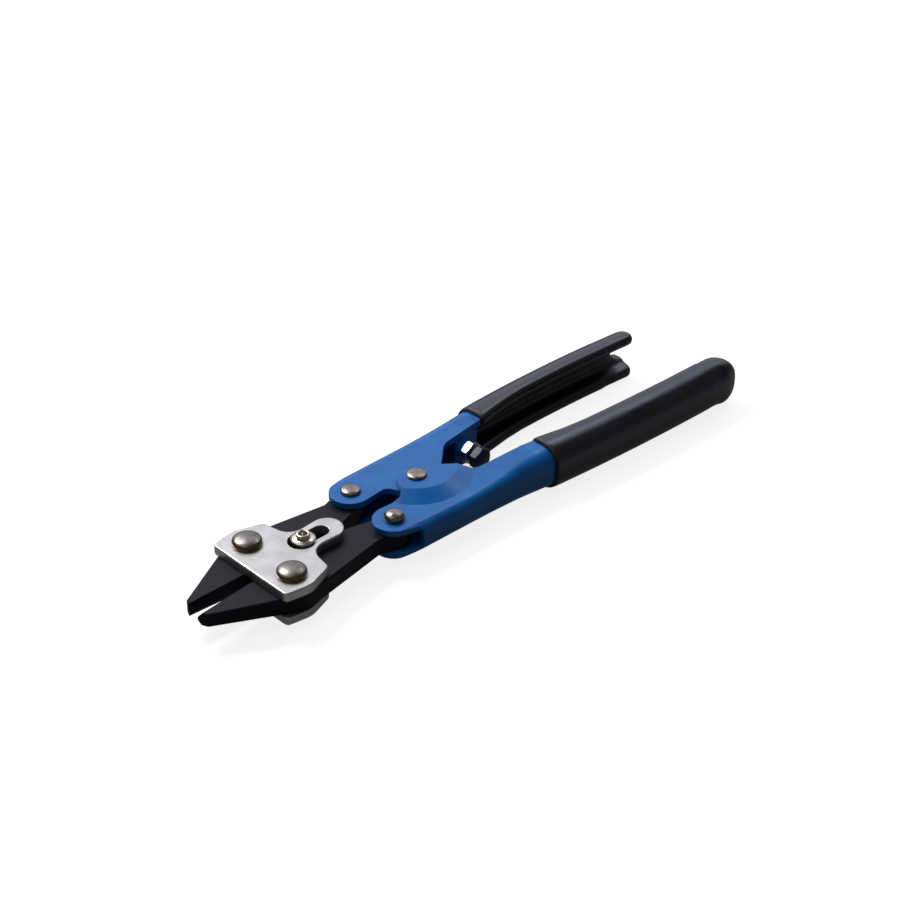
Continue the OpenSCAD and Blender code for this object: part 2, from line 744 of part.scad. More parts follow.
module left_grip() {
    placed()
        color("#15161a")
            difference() {
                loft(sleeve_rings(left_shape, left_grip_x0, left_grip_x1), true);
                difference() {
                    pocket(left_shape, left_grip_x0);
                    end_notch(left_shape[3], vinyl_gap);
                    end_corner(left_shape, vinyl_gap);
                }
                end_notch(left_shape[3], vinyl_t);
                end_corner(left_shape, vinyl_t);
            }
}

module right_grip() {
    cap_x = right_shape[3] + 0.8;
    placed()
        color("#15161a")
            mirror([0, 1, 0])
                difference() {
                    loft(concat(sleeve_rings(right_shape, right_grip_x0, right_shape[3] + 0.2),
                        [for (a = [0 : 15 : 90])
                            from_lip(cap_ring(cap_x + (right_grip_x1 - cap_x) * sin(a), right_shape, a))]), true);
                    pocket(right_shape, right_grip_x0);
                }
}

upper_plate();
lower_plate();
left_jaw_rivet();
right_jaw_rivet();
left_jaw();
right_jaw();
guide_pin();
guide_sleeve();
upper_collar();
lower_collar();
left_handle();
left_link_rivet();
handle_pivot_rivet();
pivot_spacer();
left_grip();
stop_screw();
stop_lock_nut();
right_handle();
right_link_rivet();
right_grip();
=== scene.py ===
"""Compact compound-lever bolt and wire cutter: finishes, fine parts, light and camera."""

import json
import math

import bmesh
import bpy
from bpy.props import FloatProperty, FloatVectorProperty, PointerProperty
from mathutils import Matrix, Vector


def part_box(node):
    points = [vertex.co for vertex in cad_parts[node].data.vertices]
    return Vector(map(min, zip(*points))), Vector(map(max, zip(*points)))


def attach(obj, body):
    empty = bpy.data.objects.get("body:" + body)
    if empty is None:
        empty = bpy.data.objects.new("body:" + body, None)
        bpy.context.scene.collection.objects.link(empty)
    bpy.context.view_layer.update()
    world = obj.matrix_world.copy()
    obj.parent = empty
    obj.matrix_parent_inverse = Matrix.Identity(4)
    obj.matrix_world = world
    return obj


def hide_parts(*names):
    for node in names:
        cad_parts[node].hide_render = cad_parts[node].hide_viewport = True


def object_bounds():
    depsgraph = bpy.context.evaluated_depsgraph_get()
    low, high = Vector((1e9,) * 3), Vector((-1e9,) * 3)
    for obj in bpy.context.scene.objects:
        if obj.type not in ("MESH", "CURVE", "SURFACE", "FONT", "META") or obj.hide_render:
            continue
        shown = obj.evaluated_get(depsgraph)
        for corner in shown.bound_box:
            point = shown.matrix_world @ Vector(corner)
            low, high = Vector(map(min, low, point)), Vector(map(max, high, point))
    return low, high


bl_info = {
    "name": "Compact Bolt Cutter",
    "version": (1, 0, 0),
    "blender": (4, 5, 0),
    "location": "View3D > Sidebar > Bolt Cutter",
    "description": "Dresses the compact bolt and wire cutter in its real finishes",
    "category": "Object",
}

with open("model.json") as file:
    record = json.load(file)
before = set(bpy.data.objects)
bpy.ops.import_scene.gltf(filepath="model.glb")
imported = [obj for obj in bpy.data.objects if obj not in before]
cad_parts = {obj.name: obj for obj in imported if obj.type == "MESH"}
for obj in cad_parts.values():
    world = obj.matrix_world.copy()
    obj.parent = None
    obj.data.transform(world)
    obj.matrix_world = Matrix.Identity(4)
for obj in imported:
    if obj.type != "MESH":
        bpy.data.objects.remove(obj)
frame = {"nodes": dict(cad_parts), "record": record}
CAD_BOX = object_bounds()
MM = 0.001
# points of one mesh that lie closer than this are one point
SAME = 0.02 * MM


# the Mix node's colour sockets go by number: its factor, its two colours and its result
SHARE, FIRST, SECOND, RESULT = 0, 6, 7, 2


# ---------------------------------------------------------------- colours and nodes
def linear(text):
    """An sRGB hex colour as the linear colour that a shader takes."""
    values = [int(text[i : i + 2], 16) / 255 for i in (1, 3, 5)]
    return tuple(v / 12.92 if v <= 0.04045 else ((v + 0.055) / 1.055) ** 2.4 for v in values)


def rgba(colour):
    """A colour with the alpha that a socket wants, from hex text or from a setting."""
    red, green, blue = linear(colour) if isinstance(colour, str) else colour
    return (red, green, blue, 1.0)


def add(tree, kind, inputs=None, **settings):
    """One node with its settings; an input takes a value, a socket, or a node's first socket."""
    made = tree.nodes.new(kind)
    for name, value in settings.items():
        setattr(made, name, value)
    for name, value in (inputs or {}).items():
        if isinstance(value, bpy.types.Node):
            value = value.outputs[0]
        if isinstance(value, bpy.types.NodeSocket):
            tree.links.new(value, made.inputs[name])
        else:
            made.inputs[name].default_value = value
    return made


def new_material(name):
    """A material with an empty node tree."""
    material = bpy.data.materials.new(name)
    material.use_nodes = True
    material.node_tree.nodes.clear()
    return material, material.node_tree


# ---------------------------------------------------------------- materials
def black_oxide_steel(props, middle):
    """Forged alloy steel, face-ground and hot-blackened: nearly black, satin on the faces,
    with a faint mottle of the bath and fine grinding lines across each jaw."""
    mottle_size, line_size, line_depth = 2.5 * MM, 1.2 * MM, 0.01 * MM
    material, tree = new_material("black_oxide_steel")
    place = add(tree, "ShaderNodeTexCoord").outputs["Object"]
    mottle = add(tree, "ShaderNodeTexNoise", {"Vector": place, "Scale": 1 / mottle_size, "Detail": 4})
    drawn = add(tree, "ShaderNodeMapping", {"Vector": place, "Scale": (1, 14, 1), "Rotation": (0, 0, 0.5)})
    lines = add(tree, "ShaderNodeTexNoise", {"Vector": drawn, "Scale": 1 / line_size, "Detail": 3})
    patches = add(tree, "ShaderNodeMapRange", {"Value": mottle, "From Min": 0.35, "From Max": 0.7})
    colours = {SHARE: patches, FIRST: rgba("#0c0c11"), SECOND: rgba(props.jaw_colour)}
    bath = add(tree, "ShaderNodeMix", colours, data_type="RGBA").outputs[RESULT]
    # the ground bevels beside the cutting edges rub a little brighter, in front of the rivets
    parts = add(tree, "ShaderNodeSeparateXYZ", {0: place})
    off = add(tree, "ShaderNodeMath", {0: parts.outputs["Y"], 1: middle.y}, operation="SUBTRACT")
    off = add(tree, "ShaderNodeMath", {0: off}, operation="ABSOLUTE")
    bevel = {"Value": off, "From Min": 0.6 * MM, "From Max": 2.2 * MM, "To Min": 0.5, "To Max": 0}
    bevel = add(tree, "ShaderNodeMapRange", bevel)
    nose = {"From Min": middle.x - 12 * MM, "From Max": middle.x - 8 * MM, "To Min": 1, "To Max": 0}
    nose = add(tree, "ShaderNodeMapRange", {"Value": parts.outputs["X"], **nose})
    rubs = {"Value": mottle, "From Min": 0.4, "From Max": 0.6, "To Min": 0.4}
    rubs = add(tree, "ShaderNodeMapRange", rubs)
    worn = add(tree, "ShaderNodeMath", {0: bevel, 1: nose}, operation="MULTIPLY")
    worn = add(tree, "ShaderNodeMath", {0: worn, 1: rubs}, operation="MULTIPLY")
    colours = {SHARE: worn, FIRST: bath, SECOND: rgba("#2e2f36")}
    colour = add(tree, "ShaderNodeMix", colours, data_type="RGBA").outputs[RESULT]
    # the nose was ground coarser and shines less than the shanks
    dull = {"From Min": middle.x - 14 * MM, "From Max": middle.x + 6 * MM, "To Min": 0.22, "To Max": 0}
    dull = add(tree, "ShaderNodeMapRange", {"Value": parts.outputs["X"], **dull})
    gloss = {"Value": lines, "From Min": 0.3, "From Max": 0.7, "To Min": 0.31, "To Max": 0.43}
    gloss = add(tree, "ShaderNodeMapRange", gloss)
    rough = add(tree, "ShaderNodeMath", {0: gloss, 1: dull}, operation="ADD")
    relief = add(tree, "ShaderNodeBump", {"Height": lines, "Distance": line_depth, "Strength": 0.35})
    finish = {"Base Color": colour, "Roughness": rough, "Normal": relief}
    finish |= {"Specular IOR Level": 0.17, "Specular Tint": rgba("#edeeff")}
    shader = add(tree, "ShaderNodeBsdfPrincipled", finish)
    add(tree, "ShaderNodeOutputMaterial", {"Surface": shader})
    return material


def satin_nickel(props):
    """Blanked steel plate, tumbled and nickel plated: light warm grey with a soft sheen
    and the fine haze that tumbling leaves."""
    haze_size, cloud_size, haze_depth = 0.35 * MM, 6 * MM, 0.006 * MM
    material, tree = new_material("satin_nickel_plate")
    place = add(tree, "ShaderNodeTexCoord").outputs["Object"]
    haze = add(tree, "ShaderNodeTexNoise", {"Vector": place, "Scale": 1 / haze_size, "Detail": 3})
    cloud = add(tree, "ShaderNodeTexNoise", {"Vector": place, "Scale": 1 / cloud_size, "Detail": 2})
    cloud = add(tree, "ShaderNodeMapRange", {"Value": cloud, "From Min": 0.35, "From Max": 0.65})
    colours = {SHARE: cloud, FIRST: rgba(props.plate_colour), SECOND: rgba("#c2c0be")}
    colour = add(tree, "ShaderNodeMix", colours, data_type="RGBA").outputs[RESULT]
    rough = {"Value": haze, "From Min": 0.3, "From Max": 0.7, "To Min": 0.27, "To Max": 0.38}
    rough = add(tree, "ShaderNodeMapRange", rough)
    relief = add(tree, "ShaderNodeBump", {"Height": haze, "Distance": haze_depth, "Strength": 0.5})
    finish = {"Base Color": colour, "Metallic": 0.9, "Roughness": rough, "Normal": relief}
    shader = add(tree, "ShaderNodeBsdfPrincipled", finish)
    add(tree, "ShaderNodeOutputMaterial", {"Surface": shader})
    return material


def headed_rivet(name, centre, crown, rim, rim_shade_from, roughness):
    """Steel rivet with a formed head: fine rings from the heading tool on the crown,
    and a darker, yellower band round its edge: painted shade on the head's sides, with a yellow tint."""
    smudge_size, ring_width, ring_depth = 1.4 * MM, 0.45 * MM, 0.02 * MM
    material, tree = new_material(name)
    place = add(tree, "ShaderNodeTexCoord").outputs["Object"]
    away = add(tree, "ShaderNodeVectorMath", {0: place, 1: centre}, operation="SUBTRACT")
    away = add(tree, "ShaderNodeVectorMath", {0: away, 1: (1, 1, 0)}, operation="MULTIPLY")
    away = add(tree, "ShaderNodeVectorMath", {0: away}, operation="LENGTH").outputs["Value"]
    smudge = add(tree, "ShaderNodeTexNoise", {"Vector": place, "Scale": 1 / smudge_size, "Detail": 4})
    dirt = {"Value": smudge, "From Min": 0.35, "From Max": 0.7, "To Max": 0.6}
    colours = {SHARE: add(tree, "ShaderNodeMapRange", dirt), FIRST: rgba(crown), SECOND: rgba("#55504a")}
    colour = add(tree, "ShaderNodeMix", colours, data_type="RGBA").outputs[RESULT]
    # painted shade on the head's sides: from this radius outward the colour turns darker, with a yellow
    # tint
    edge = {"Value": away, "From Min": rim_shade_from - 0.35 * MM, "From Max": rim_shade_from + 0.1 * MM}
    colours = {SHARE: add(tree, "ShaderNodeMapRange", edge), FIRST: colour, SECOND: rgba(rim)}
    colour = add(tree, "ShaderNodeMix", colours, data_type="RGBA").outputs[RESULT]
    rings = add(tree, "ShaderNodeMath", {0: away, 1: 2 * math.pi / ring_width}, operation="MULTIPLY")
    rings = add(tree, "ShaderNodeMath", {0: rings}, operation="SINE")
    rings = add(tree, "ShaderNodeMath", {0: rings, 1: 0.08}, operation="MULTIPLY")
    height = add(tree, "ShaderNodeMath", {0: smudge, 1: rings}, operation="ADD")
    rough = {"From Min": 0.3, "From Max": 0.7, "To Min": roughness - 0.05, "To Max": roughness + 0.12}
    rough = add(tree, "ShaderNodeMapRange", {"Value": smudge, **rough})
    relief = add(tree, "ShaderNodeBump", {"Height": height, "Distance": ring_depth, "Strength": 0.5})
    finish = {"Base Color": colour, "Metallic": 1.0, "Roughness": rough, "Normal": relief}
    shader = add(tree, "ShaderNodeBsdfPrincipled", finish)
    add(tree, "ShaderNodeOutputMaterial", {"Surface": shader})
    return material


def bright_nickel():
    """Small turned steel parts with bright nickel: smooth, with faint turning marks."""
    mark_size = 1.5 * MM
    material, tree = new_material("bright_nickel")
    place = add(tree, "ShaderNodeTexCoord").outputs["Object"]
    turns = add(tree, "ShaderNodeMapping", {"Vector": place, "Scale": (1, 1, 12)})
    marks = add(tree, "ShaderNodeTexNoise", {"Vector": turns, "Scale": 1 / mark_size, "Detail": 2})
    share = add(tree, "ShaderNodeMapRange", {"Value": marks, "From Min": 0.35, "From Max": 0.65})
    colours = {SHARE: share, FIRST: rgba("#b9b2a6"), SECOND: rgba("#d0cabf")}
    colour = add(tree, "ShaderNodeMix", colours, data_type="RGBA").outputs[RESULT]
    rough = {"Value": marks, "From Min": 0.3, "From Max": 0.7, "To Min": 0.2, "To Max": 0.32}
    finish = {"Base Color": colour, "Metallic": 1.0, "Roughness": add(tree, "ShaderNodeMapRange", rough)}
    shader = add(tree, "ShaderNodeBsdfPrincipled", finish)
    add(tree, "ShaderNodeOutputMaterial", {"Surface": shader})
    return material


def plain_steel():
    """Turned mild steel, left plain and lightly oiled: mid grey, with fine turning marks."""
    mark_size = 1.0 * MM
    material, tree = new_material("oiled_turned_steel")
    place = add(tree, "ShaderNodeTexCoord").outputs["Object"]
    turns = add(tree, "ShaderNodeMapping", {"Vector": place, "Scale": (1, 1, 10)})
    marks = add(tree, "ShaderNodeTexNoise", {"Vector": turns, "Scale": 1 / mark_size, "Detail": 3})
    colours = {SHARE: marks, FIRST: rgba("#6c6a67"), SECOND: rgba("#8a8783")}
    colour = add(tree, "ShaderNodeMix", colours, data_type="RGBA").outputs[RESULT]
    rough = {"Value": marks, "From Min": 0.3, "From Max": 0.7, "To Min": 0.34, "To Max": 0.5}
    finish = {"Base Color": colour, "Metallic": 1.0, "Roughness": add(tree, "ShaderNodeMapRange", rough)}
    shader = add(tree, "ShaderNodeBsdfPrincipled", finish)
    add(tree, "ShaderNodeOutputMaterial", {"Surface": shader})
    return material


def blue_enamel(props):
    """Stoved enamel over pressed sheet: a clear gloss film whose slight orange peel
    breaks up the highlights, a little darker where the film is thin."""
    peel_size, fine_size, cloud_size = 1.1 * MM, 0.45 * MM, 9 * MM
    material, tree = new_material("blue_stoved_enamel")
    place = add(tree, "ShaderNodeTexCoord").outputs["Object"]
    peel = {"Vector": place, "Scale": 1 / peel_size, "Detail": 2, "Roughness": 0.4}
    peel = add(tree, "ShaderNodeTexNoise", peel)
    fine = add(tree, "ShaderNodeTexNoise", {"Vector": place, "Scale": 1 / fine_size, "Detail": 1})
    cloud = add(tree, "ShaderNodeTexNoise", {"Vector": place, "Scale": 1 / cloud_size, "Detail": 2})
    cloud = add(tree, "ShaderNodeMapRange", {"Value": cloud, "From Min": 0.3, "From Max": 0.7})
    colours = {SHARE: cloud, FIRST: rgba("#00589f"), SECOND: rgba(props.enamel_colour)}
    colour = add(tree, "ShaderNodeMix", colours, data_type="RGBA").outputs[RESULT]
    fine = add(tree, "ShaderNodeMath", {0: fine, 1: 0.35}, operation="MULTIPLY")
    height = add(tree, "ShaderNodeMath", {0: peel, 1: fine}, operation="ADD")
    relief = {"Height": height, "Distance": props.peel_depth, "Strength": 0.6}
    finish = {"Base Color": colour, "Roughness": 0.27, "Specular IOR Level": 0.36}
    finish["Normal"] = add(tree, "ShaderNodeBump", relief)
    shader = add(tree, "ShaderNodeBsdfPrincipled", finish)
    add(tree, "ShaderNodeOutputMaterial", {"Surface": shader})
    return material


def dipped_vinyl(props, name, lip_x):
    """Plastisol vinyl, hot dipped and cured: near-black, satin gloss, with long soft runs,
    a faint skin texture and a dull lip at lip_x, where the film thins out."""
    run_size, skin_size, run_depth = 4 * MM, 0.6 * MM, 0.12 * MM
    material, tree = new_material(name)
    place = add(tree, "ShaderNodeTexCoord").outputs["Object"]
    along = add(tree, "ShaderNodeMapping", {"Vector": place, "Scale": (0.18, 1, 1)})
    runs = add(tree, "ShaderNodeTexNoise", {"Vector": along, "Scale": 1 / run_size, "Detail": 2})
    skin = add(tree, "ShaderNodeTexNoise", {"Vector": place, "Scale": 1 / skin_size, "Detail": 2})
    share = add(tree, "ShaderNodeMapRange", {"Value": runs, "From Min": 0.35, "From Max": 0.65})
    colours = {SHARE: share, FIRST: rgba(props.vinyl_colour), SECOND: rgba("#0a0a0d")}
    colour = add(tree, "ShaderNodeMix", colours, data_type="RGBA").outputs[RESULT]
    gloss = {"Value": runs, "From Min": 0.35, "From Max": 0.65, "To Min": 0.26, "To Max": 0.36}
    gloss = add(tree, "ShaderNodeMapRange", gloss)
    parts = add(tree, "ShaderNodeSeparateXYZ", {0: place})
    lip = {"From Min": lip_x + 0.5 * MM, "From Max": lip_x + 1.3 * MM, "To Min": 0.6, "To Max": 0}
    lip = add(tree, "ShaderNodeMapRange", {"Value": parts.outputs["X"], **lip})
    rough = add(tree, "ShaderNodeMath", {0: gloss, 1: lip}, operation="ADD")
    skin = add(tree, "ShaderNodeMath", {0: skin, 1: 0.06}, operation="MULTIPLY")
    height = add(tree, "ShaderNodeMath", {0: runs, 1: skin}, operation="ADD")
    relief = add(tree, "ShaderNodeBump", {"Height": height, "Distance": run_depth, "Strength": 0.5})
    finish = {"Base Color": colour, "Roughness": rough, "Normal": relief}
    finish |= {"Specular IOR Level": 0.8, "Specular Tint": rgba("#eaecff")}
    shader = add(tree, "ShaderNodeBsdfPrincipled", finish)
    add(tree, "ShaderNodeOutputMaterial", {"Surface": shader})
    return material


def black_screw_steel():
    """Hardened screw, black oxide under oil: dark grey with a dull gloss."""
    mottle_size = 0.9 * MM
    material, tree = new_material("black_oxide_screw")
    place = add(tree, "ShaderNodeTexCoord").outputs["Object"]
    mottle = add(tree, "ShaderNodeTexNoise", {"Vector": place, "Scale": 1 / mottle_size, "Detail": 3})
    colours = {SHARE: mottle, FIRST: rgba("#2b2d31"), SECOND: rgba("#4a4b50")}
    colour = add(tree, "ShaderNodeMix", colours, data_type="RGBA").outputs[RESULT]
    rough = {"Value": mottle, "From Min": 0.3, "From Max": 0.7, "To Min": 0.42, "To Max": 0.55}
    finish = {"Base Color": colour, "Metallic": 0.8, "Roughness": add(tree, "ShaderNodeMapRange", rough)}
    shader = add(tree, "ShaderNodeBsdfPrincipled", finish)
    add(tree, "ShaderNodeOutputMaterial", {"Surface": shader})
    return material


def bright_zinc():
    """Zinc plated nut: bright, very slightly blue, with small dull spots."""
    spot_size = 0.7 * MM
    material, tree = new_material("bright_zinc_plate")
    place = add(tree, "ShaderNodeTexCoord").outputs["Object"]
    spots = add(tree, "ShaderNodeTexNoise", {"Vector": place, "Scale": 1 / spot_size, "Detail": 3})
    share = add(tree, "ShaderNodeMapRange", {"Value": spots, "From Min": 0.4, "From Max": 0.7})
    colours = {SHARE: share, FIRST: rgba("#d4d9dc"), SECOND: rgba("#a9aeb3")}
    colour = add(tree, "ShaderNodeMix", colours, data_type="RGBA").outputs[RESULT]
    rough = {"Value": spots, "From Min": 0.3, "From Max": 0.7, "To Min": 0.28, "To Max": 0.4}
    finish = {"Base Color": colour, "Metallic": 1.0, "Roughness": add(tree, "ShaderNodeMapRange", rough)}
    shader = add(tree, "ShaderNodeBsdfPrincipled", finish)
    add(tree, "ShaderNodeOutputMaterial", {"Surface": shader})
    return material


# ---------------------------------------------------------------- pieces
def body_holding(node):
    """The moving body that the record puts the node on."""
    for body, members in frame["record"]["behaviour"]["bodies"].items():
        if node in members:
            return body
    raise RuntimeError("no body holds " + node)


def finish_mesh(mesh, node, ending, material, ease=0.0, sharp_deg=34.0):
    """Puts a finished mesh in the scene for a node: smooth faces, eased edges, body and slot."""
    for face in mesh.faces:
        face.smooth = True
    limit = math.radians(sharp_deg)
    for edge in mesh.edges:
        edge.smooth = len(edge.link_faces) == 2 and edge.calc_face_angle(0.0) < limit
    data = bpy.data.meshes.new(node + ending)
    mesh.to_mesh(data)
    mesh.free()
    piece = bpy.data.objects.new(node + ending, data)
    bpy.context.scene.collection.objects.link(piece)
    data.materials.append(material)
    if ease:
        eased = piece.modifiers.new("eased_edges", "BEVEL")
        eased.width = ease
        eased.segments = 2
        eased.limit_method = "ANGLE"
        eased.angle_limit = limit
        eased.harden_normals = True
        eased.use_clamp_overlap = False
        # broad flats stay flat right up to the eased edges beside them
        steady = piece.modifiers.new("steady_flats", "WEIGHTED_NORMAL")
        steady.keep_sharp = True
    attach(piece, body_holding(node))
    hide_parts(node)
    return piece


def merged(node, flats=True):
    """A copy of the node's mesh with its loose facets joined, and its flats made whole."""
    mesh = bmesh.new()
    mesh.from_mesh(frame["nodes"][node].data)
    for layer in list(mesh.loops.layers.uv):
        mesh.loops.layers.uv.remove(layer)
    bmesh.ops.remove_doubles(mesh, verts=mesh.verts, dist=SAME)
    if flats:
        bmesh.ops.dissolve_limit(mesh, angle_limit=math.radians(0.1), verts=mesh.verts, edges=mesh.edges)
    return mesh


def tapered_jaw(node, material, start_x, share):
    """A jaw whose nose thins evenly from start_x to share of its thickness at the tip."""
    mesh = merged(node)
    whole = mesh.verts[:] + mesh.edges[:] + mesh.faces[:]
    bmesh.ops.bisect_plane(mesh, geom=whole, dist=0.01 * MM, plane_co=(start_x, 0, 0), plane_no=(1, 0, 0))
    low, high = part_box(node)
    middle = (low.z + high.z) / 2
    for vert in mesh.verts:
        if vert.co.x < start_x:
            thin = 1 - (1 - share) * (start_x - vert.co.x) / (start_x - low.x)
            vert.co.z = middle + (vert.co.z - middle) * thin
    return finish_mesh(mesh, node, "_ground", material, sharp_deg=20)


def block(low, high):
    """A box between two corners, as a bmesh."""
    mesh = bmesh.new()
    bmesh.ops.create_cube(mesh, size=1.0)
    size = Matrix.Diagonal((*(high - low), 1.0))
    bmesh.ops.transform(mesh, matrix=Matrix.Translation((low + high) / 2) @ size, verts=mesh.verts)
    return mesh


def cut_away(mesh, cutters):
    """The mesh with every cutter taken out of it."""
    spares = []
    for name, shape in [("blank", mesh)] + [("cutter", c) for c in cutters]:
        data = bpy.data.meshes.new(name)
        shape.to_mesh(data)
        shape.free()
        spare = bpy.data.objects.new(name, data)
        bpy.context.scene.collection.objects.link(spare)
        spares.append(spare)
    blank = spares[0]
    for cutter in spares[1:]:
        cut = blank.modifiers.new("cut", "BOOLEAN")
        cut.operation = "DIFFERENCE"
        cut.solver = "EXACT"
        cut.object = cutter
    left = bmesh.new()
    left.from_object(blank, bpy.context.evaluated_depsgraph_get())
    for spare in spares:
        data = spare.data
        bpy.data.objects.remove(spare)
        bpy.data.meshes.remove(data)
    return left


def reskinned(mesh, voxel):
    """The mesh closed over by an even skin of small faces."""
    data = bpy.data.meshes.new("core")
    mesh.to_mesh(data)
    mesh.free()
    spare = bpy.data.objects.new("core", data)
    bpy.context.scene.collection.objects.link(spare)
    skin = spare.modifiers.new("skin", "REMESH")
    skin.mode = "VOXEL"
    skin.voxel_size = voxel
    even = bmesh.new()
    even.from_object(spare, bpy.context.evaluated_depsgraph_get())
    bpy.data.objects.remove(spare)
    bpy.data.meshes.remove(data)
    return even


def pressed_handle(node, side, material, ease):
    """A channel handle: open behind its ears and in front of its web."""
    # the jaws' tails fill the room between the ears, but for this much on each face
    tail_gap = 0.1 * MM
    # from the link rivets: back to the wall behind the ears, and across to the middle line
    link_to_wall, link_to_middle = 4.0 * MM, 9.64 * MM
    # the open stretch before that wall, and the wall's place across the tool
    ear_depth, wall_near, wall_far = 9 * MM, 13.5 * MM, 30 * MM
    # the open stretch before the web: where it lies ahead of the screw and across the tool
    web_ahead, web_behind, web_near, web_far, web_half = 7.5 * MM, 3.15 * MM, 4 * MM, 12 * MM, 3.58 * MM

    jaw_low, jaw_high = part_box("left_jaw")
    inner = (jaw_high.z - jaw_low.z) / 2 + tail_gap
    mid_z = (jaw_low.z + jaw_high.z) / 2
    screw_low, screw_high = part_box("stop_screw")
    screw_x = (screw_low.x + screw_high.x) / 2
    link_low, link_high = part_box("left_link_rivet")
    wall_x = (link_low.x + link_high.x) / 2 + link_to_wall
    mid_y = (link_low.y + link_high.y) / 2 - link_to_middle

    def across(x0, x1, near, far, half):
        ys = sorted((mid_y + side * near, mid_y + side * far))
        return block(Vector((x0, ys[0], mid_z - half)), Vector((x1, ys[1], mid_z + half)))

    behind_ears = across(wall_x - ear_depth, wall_x, wall_near, wall_far, inner)
    before_web = across(screw_x - web_ahead, screw_x - web_behind, web_near, web_far, web_half)
    mesh = cut_away(merged(node), [behind_ears, before_web])
    bmesh.ops.remove_doubles(mesh, verts=mesh.verts, dist=SAME)
    bmesh.ops.holes_fill(mesh, edges=[e for e in mesh.edges if e.is_boundary])
    return finish_mesh(mesh, node, "_pressed", material, ease, 19)


def dipped_grip(node, material):
    """The grip with the soft, rounded skin that dipping leaves on every edge."""
    skin_size, end_length, rounds_all, rounds_end = 0.38 * MM, 14 * MM, 8, 40
    mesh = reskinned(merged(node, False), skin_size)
    bmesh.ops.recalc_face_normals(mesh, faces=mesh.faces)
    # the vinyl gathers at the free end, so that end is rounded most
    end_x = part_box(node)[1].x - end_length
    end = [v for v in mesh.verts if v.co.x > end_x]
    ways = {"use_axis_x": True, "use_axis_y": True, "use_axis_z": True}
    for verts, rounds in ((mesh.verts[:], rounds_all), (end, rounds_end)):
        for _ in range(rounds):
            bmesh.ops.smooth_vert(mesh, verts=verts, factor=0.5, **ways)
    return finish_mesh(mesh, node, "_dipped", material, sharp_deg=180)


def turned(profile, centre, steps=64):
    """A mesh spun round +Z from a profile of (radius, height) points in metres."""
    mesh = bmesh.new()
    verts = [mesh.verts.new((max(r, 0.0), 0.0, z)) for r, z in profile]
    edges = [mesh.edges.new((a, b)) for a, b in zip(verts, verts[1:])]
    full = {"axis": (0, 0, 1), "angle": 2 * math.pi, "steps": steps, "use_merge": True}
    bmesh.ops.spin(mesh, geom=verts + edges, cent=(0, 0, 0), **full)
    bmesh.ops.remove_doubles(mesh, verts=mesh.verts, dist=0.001 * MM)
    bmesh.ops.recalc_face_normals(mesh, faces=mesh.faces)
    bmesh.ops.transform(mesh, matrix=Matrix.Translation(centre), verts=mesh.verts)
    return mesh


def head_profile(shank, head, seat, top):
    """Half of a headed rivet above its middle: a low land, then a domed crown."""
    height, broken_edge, land_share, steps = top - seat, 0.12 * MM, 0.40, 12
    land = seat + land_share * height
    dome = (1 - land_share) * height
    points = [(shank, 0.0), (shank, seat), (head - broken_edge, seat), (head, seat + broken_edge)]
    points.append((head, land))
    for i in range(1, steps + 1):
        a = math.radians(90 * i / steps)
        points.append((head * math.cos(a), land + dome * math.sin(a) ** 0.9))
    return points


def rivet_piece(node, shank, seat, material):
    """A rivet with both formed heads, spun from its profile inside the node's own box."""
    low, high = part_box(node)
    upper = head_profile(shank / 2, (high.x - low.x) / 2, seat, (high.z - low.z) / 2)
    lower = [(r, -z) for r, z in reversed(upper)]
    mesh = turned(lower[:-1] + upper[1:], (low + high) / 2)
    return finish_mesh(mesh, node, "_headed", material, sharp_deg=50)


def turned_ring(node, bore, material, ease):
    """A plain turned ring that fills the node's box, with its edges broken."""
    low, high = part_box(node)
    radius, half = (high.x - low.x) / 2, (high.z - low.z) / 2
    profile = [(bore, -half), (radius - ease, -half)]
    profile += [(radius - 0.3 * ease, -half + 0.3 * ease), (radius, -half + ease)]
    profile += [(r, -z) for r, z in reversed(profile)]
    mesh = turned(profile + [profile[0]], (low + high) / 2)
    return finish_mesh(mesh, node, "_turned", material, sharp_deg=40)


def eyelet(node, material, collar_top, hole):
    """The hollow guide pin: a shank, a rolled eye above the upper collar and a set foot."""
    shank, broken_edge, steps = 1.5 * MM, 0.1 * MM, 12
    # the foot is set with a wider slope, and is this much thinner than the eye is high
    set_width, set_height, foot_less = 0.45 * MM, 0.3 * MM, 0.5 * MM
    # the hole runs straight below a slightly wider mouth
    mouth_ease, mouth_depth, hole_depth = 0.05 * MM, 0.2 * MM, 1.0 * MM
    low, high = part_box(node)
    centre = Vector(((low.x + high.x) / 2, (low.y + high.y) / 2, 0))
    rim = (high.x - low.x) / 2
    roll = (rim - hole) / 2
    foot = low.z + (high.z - collar_top) - foot_less
    profile = [(0, low.z), (rim - set_width, low.z), (rim - broken_edge, low.z + set_height), (rim, foot)]
    profile += [(shank, foot), (shank, collar_top), (rim - broken_edge, collar_top), (rim, high.z - roll)]
    for i in range(1, steps + 1):
        a = math.radians(180 * i / steps)
        profile.append((rim - roll + roll * math.cos(a), high.z - roll + roll * math.sin(a)))
    floor = collar_top - hole_depth
    profile += [(hole + mouth_ease, collar_top + mouth_depth), (hole, collar_top - mouth_depth)]
    mesh = turned(profile + [(hole, floor), (0, floor)], centre, steps=48)
    return finish_mesh(mesh, node, "_eyelet", material, sharp_deg=50)


